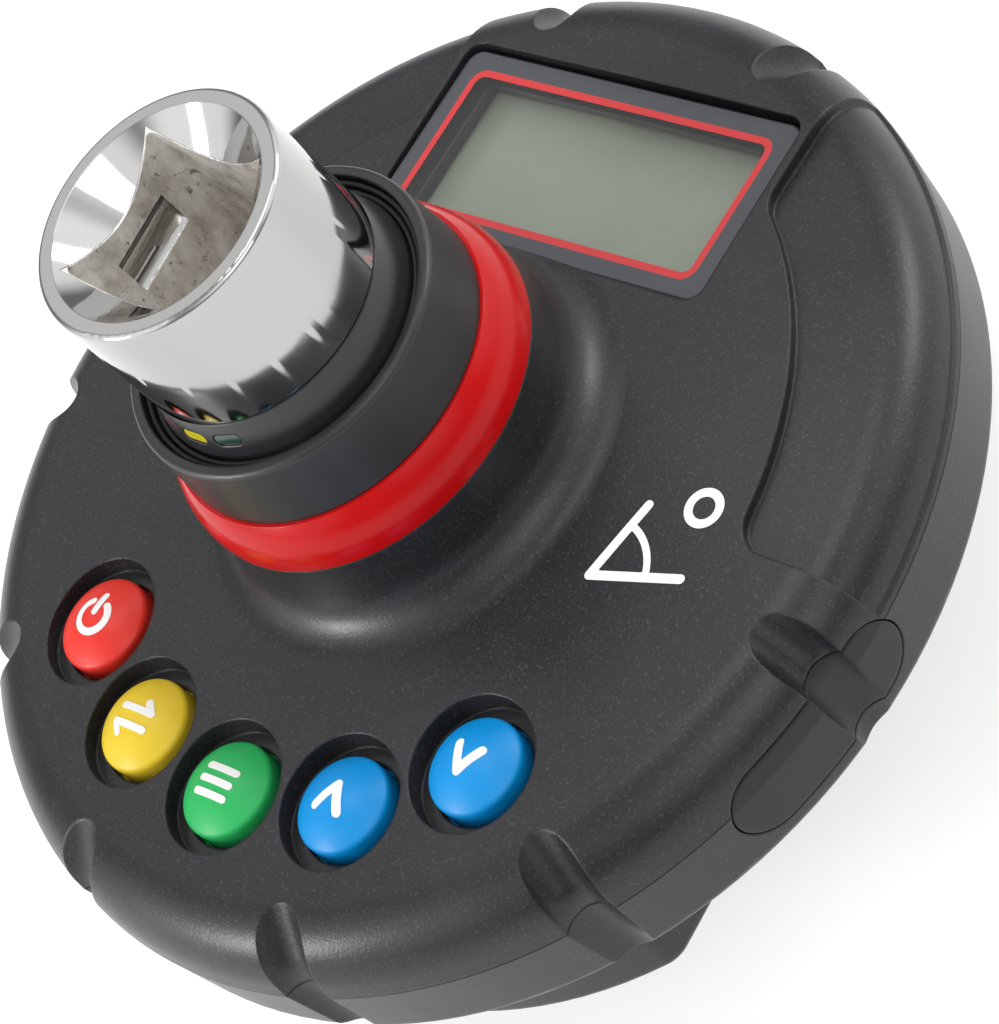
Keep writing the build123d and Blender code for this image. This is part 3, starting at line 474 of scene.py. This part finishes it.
# Angle sign on the face: two rays, an arc between them and a degree ring
housing = body_of("front_casing")
CORNER_X, CORNER_Y = 23.5, -5.8
mark(
    "angle_sign",
    [
        bar(CORNER_X, CORNER_Y, 31.4, -3.7, 0.8),
        bar(CORNER_X, CORNER_Y, 25.3, 1.0, 0.8),
        arc(CORNER_X, CORNER_Y, 5.0, 15, 75, 0.6),
        arc(30.1, 2.2, 1.35, 0, 360, 0.75),
    ],
    (22.0, -7.5, 33.0, 5.0), 0.12, front_surface, housing, thick=0.03,
)


# Display window: printed border, red line and a clear middle


def rounded(width, height, radius, cy, w, corner=8):
    """Rounded rectangle in the plane of the display, at a height w over it."""
    tilt = math.atan(FACE_SLOPE)
    out = []
    for qx, qy, start in ((1, 1, 0), (-1, 1, 90), (-1, -1, 180), (1, -1, 270)):
        for k in range(corner + 1):
            a = math.radians(start + 90 * k / corner)
            x = qx * (width / 2 - radius) + radius * math.cos(a)
            y = cy + qy * (height / 2 - radius) + radius * math.sin(a)
            out.append((
                x,
                DISPLAY_Y + y * math.cos(tilt) + w * math.sin(tilt),
                face_z(DISPLAY_Y) - y * math.sin(tilt) + w * math.cos(tilt),
            ))
    return out


BORDER, RED_LINE, CLEAR = 0, 1, 2


def build_window():
    """Plate with a clear middle, from its clear back round the edge to its clear front."""
    rings = [
        rounded(33.0, 12.7, 0.9, -0.2, -2.0),
        rounded(37.7, 17.25, 1.45, -0.125, -2.0),
        rounded(37.7, 17.25, 1.45, -0.125, -1.0),
        rounded(37.55, 17.1, 1.4, -0.125, -0.86),
        rounded(37.3, 16.85, 1.3, -0.125, -0.8),
        rounded(34.2, 13.9, 1.45, -0.2, -0.8),
        rounded(32.9, 12.6, 0.85, -0.2, -0.8),
    ]
    strips = [BORDER, BORDER, BORDER, BORDER, BORDER, RED_LINE]
    n = len(rings[0])
    points = [p for ring in rings for p in ring]
    faces, kinds = [], []
    for r, kind in enumerate(strips):
        for k in range(n):
            a, b = r * n + k, r * n + (k + 1) % n
            faces.append([a, b, b + n, a + n])
            kinds.append(kind)
    faces.append([n * len(strips) + k for k in range(n)])
    faces.append(list(reversed(range(n))))
    kinds += [CLEAR, CLEAR]
    window = piece("window_plate", points, faces, [border_print, red_print, window_clear], housing,
                   kinds)
    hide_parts("display_window")


build_window()


# Stage, lights and camera


def build_floor():
    mesh = bpy.data.meshes.new("floor")
    mesh.from_pydata([(-3, -3, 0), (3, -3, 0), (3, 3, 0), (-3, 3, 0)], [], [(0, 1, 2, 3)])
    floor = bpy.data.objects.new("floor", mesh)
    floor.location.z = -0.0002
    scene.collection.objects.link(floor)
    s = Shader("floor_look", (0.9, 0.9, 0.9, 1))
    s.tree.nodes.remove(s.main)
    rays = s.node("ShaderNodeLightPath")
    seen = s.math("MAXIMUM", rays.outputs["Is Camera Ray"],
                  s.math("MAXIMUM", rays.outputs["Is Glossy Ray"], rays.outputs["Is Transmission Ray"]))
    paper = s.node("ShaderNodeBsdfDiffuse", Color=(0.6, 0.6, 0.6, 1))
    glow = s.node("ShaderNodeEmission", Color=(1, 1, 1, 1), Strength=s.math("MULTIPLY", seen, 0.5))
    both = s.node("ShaderNodeAddShader")
    s.link(paper.outputs[0], both.inputs[0])
    s.link(glow.outputs[0], both.inputs[1])
    s.link(both.outputs[0], s.out.inputs["Surface"])
    mesh.materials.append(s.material)


# Broad soft lights of the studio: direction, cosines where each starts and is full, and strength
SOFT_LIGHTS = [
    ((0.26, 0.86, 0.44), 0.72, 0.93, 1.1),
    ((-0.40, -0.84, 0.38), 0.70, 0.93, 1.1),
    ((-0.68, 0.21, 0.70), 0.93, 0.985, 0.55),
    ((0.69, -0.16, 0.71), 0.80, 0.97, 0.9),
]


def build_world():
    """Dim room that brightens upwards, with broad soft lights."""
    world = bpy.data.worlds.new("studio")
    world.use_nodes = True
    scene.world = world
    tree = world.node_tree
    tree.nodes.clear()
    out = tree.nodes.new("ShaderNodeOutputWorld")
    back = tree.nodes.new("ShaderNodeBackground")
    toward = tree.nodes.new("ShaderNodeTexCoord").outputs["Generated"]
    axes = tree.nodes.new("ShaderNodeSeparateXYZ")
    tree.links.new(toward, axes.inputs[0])

    def stage_span(value, low, high, to_low, to_high):
        n = tree.nodes.new("ShaderNodeMapRange")
        n.interpolation_type = "SMOOTHSTEP"
        tree.links.new(value, n.inputs["Value"])
        for key, v in (("From Min", low), ("From Max", high), ("To Min", to_low), ("To Max", to_high)):
            n.inputs[key].default_value = v
        return n.outputs[0]

    level = stage_span(axes.outputs["Z"], 0.10, 0.9, 0.26, 0.52)
    for direction, start, full, strength in SOFT_LIGHTS:
        dot = tree.nodes.new("ShaderNodeVectorMath")
        dot.operation = "DOT_PRODUCT"
        tree.links.new(toward, dot.inputs[0])
        dot.inputs[1].default_value = Vector(direction).normalized()
        total = tree.nodes.new("ShaderNodeMath")
        total.operation = "ADD"
        tree.links.new(level, total.inputs[0])
        tree.links.new(stage_span(dot.outputs["Value"], start, full, 0, strength), total.inputs[1])
        level = total.outputs[0]
    back.inputs["Color"].default_value = (1, 1, 1, 1)
    tree.links.new(level, back.inputs["Strength"])
    tree.links.new(back.outputs[0], out.inputs["Surface"])


EYE = Vector((268.69, -81.18, 310.36)) * MM
RIGHT = Vector((0.69641, 0.48340, -0.53041))
UP = Vector((-0.23109, 0.85079, 0.47197))
BACK = Vector((0.67942, -0.20611, 0.70421))
MIDDLE = Vector((0, 0, 0.042))


def lamp(name, right, up, back, size, power, shape=1.0):
    """Soft area lamp placed in the camera's axes round the object, in metres."""
    data = bpy.data.lights.new(name, "AREA")
    data.shape = "RECTANGLE"
    data.size = size
    data.size_y = size * shape
    data.energy = power
    obj = bpy.data.objects.new(name, data)
    scene.collection.objects.link(obj)
    obj.location = MIDDLE + RIGHT * right + UP * up + BACK * back
    obj.rotation_euler = (MIDDLE - obj.location).to_track_quat("-Z", "Y").to_euler()


lamp("key_lamp", -0.55, 0.75, 0.55, 0.55, 2.2)
lamp("far_lamp", 0.34, 0.84, 0.29, 0.30, 2.0)
lamp("low_lamp", -0.84, -0.42, 0.16, 0.30, 4.5)
lamp("front_lamp", 0.10, 0.15, 1.0, 0.45, 0.8)

build_floor()
build_world()

lens = bpy.data.cameras.new("camera")
lens.sensor_fit = "VERTICAL"
lens.sensor_height = 36.0
lens.lens = 170.3
lens.clip_start = 0.01
lens.clip_end = 20.0
camera = bpy.data.objects.new("camera", lens)
scene.collection.objects.link(camera)
turn = Matrix((RIGHT, UP, BACK)).transposed().to_4x4()
camera.matrix_world = Matrix.Translation(EYE) @ turn
scene.camera = camera
scene.view_settings.view_transform = "Standard"
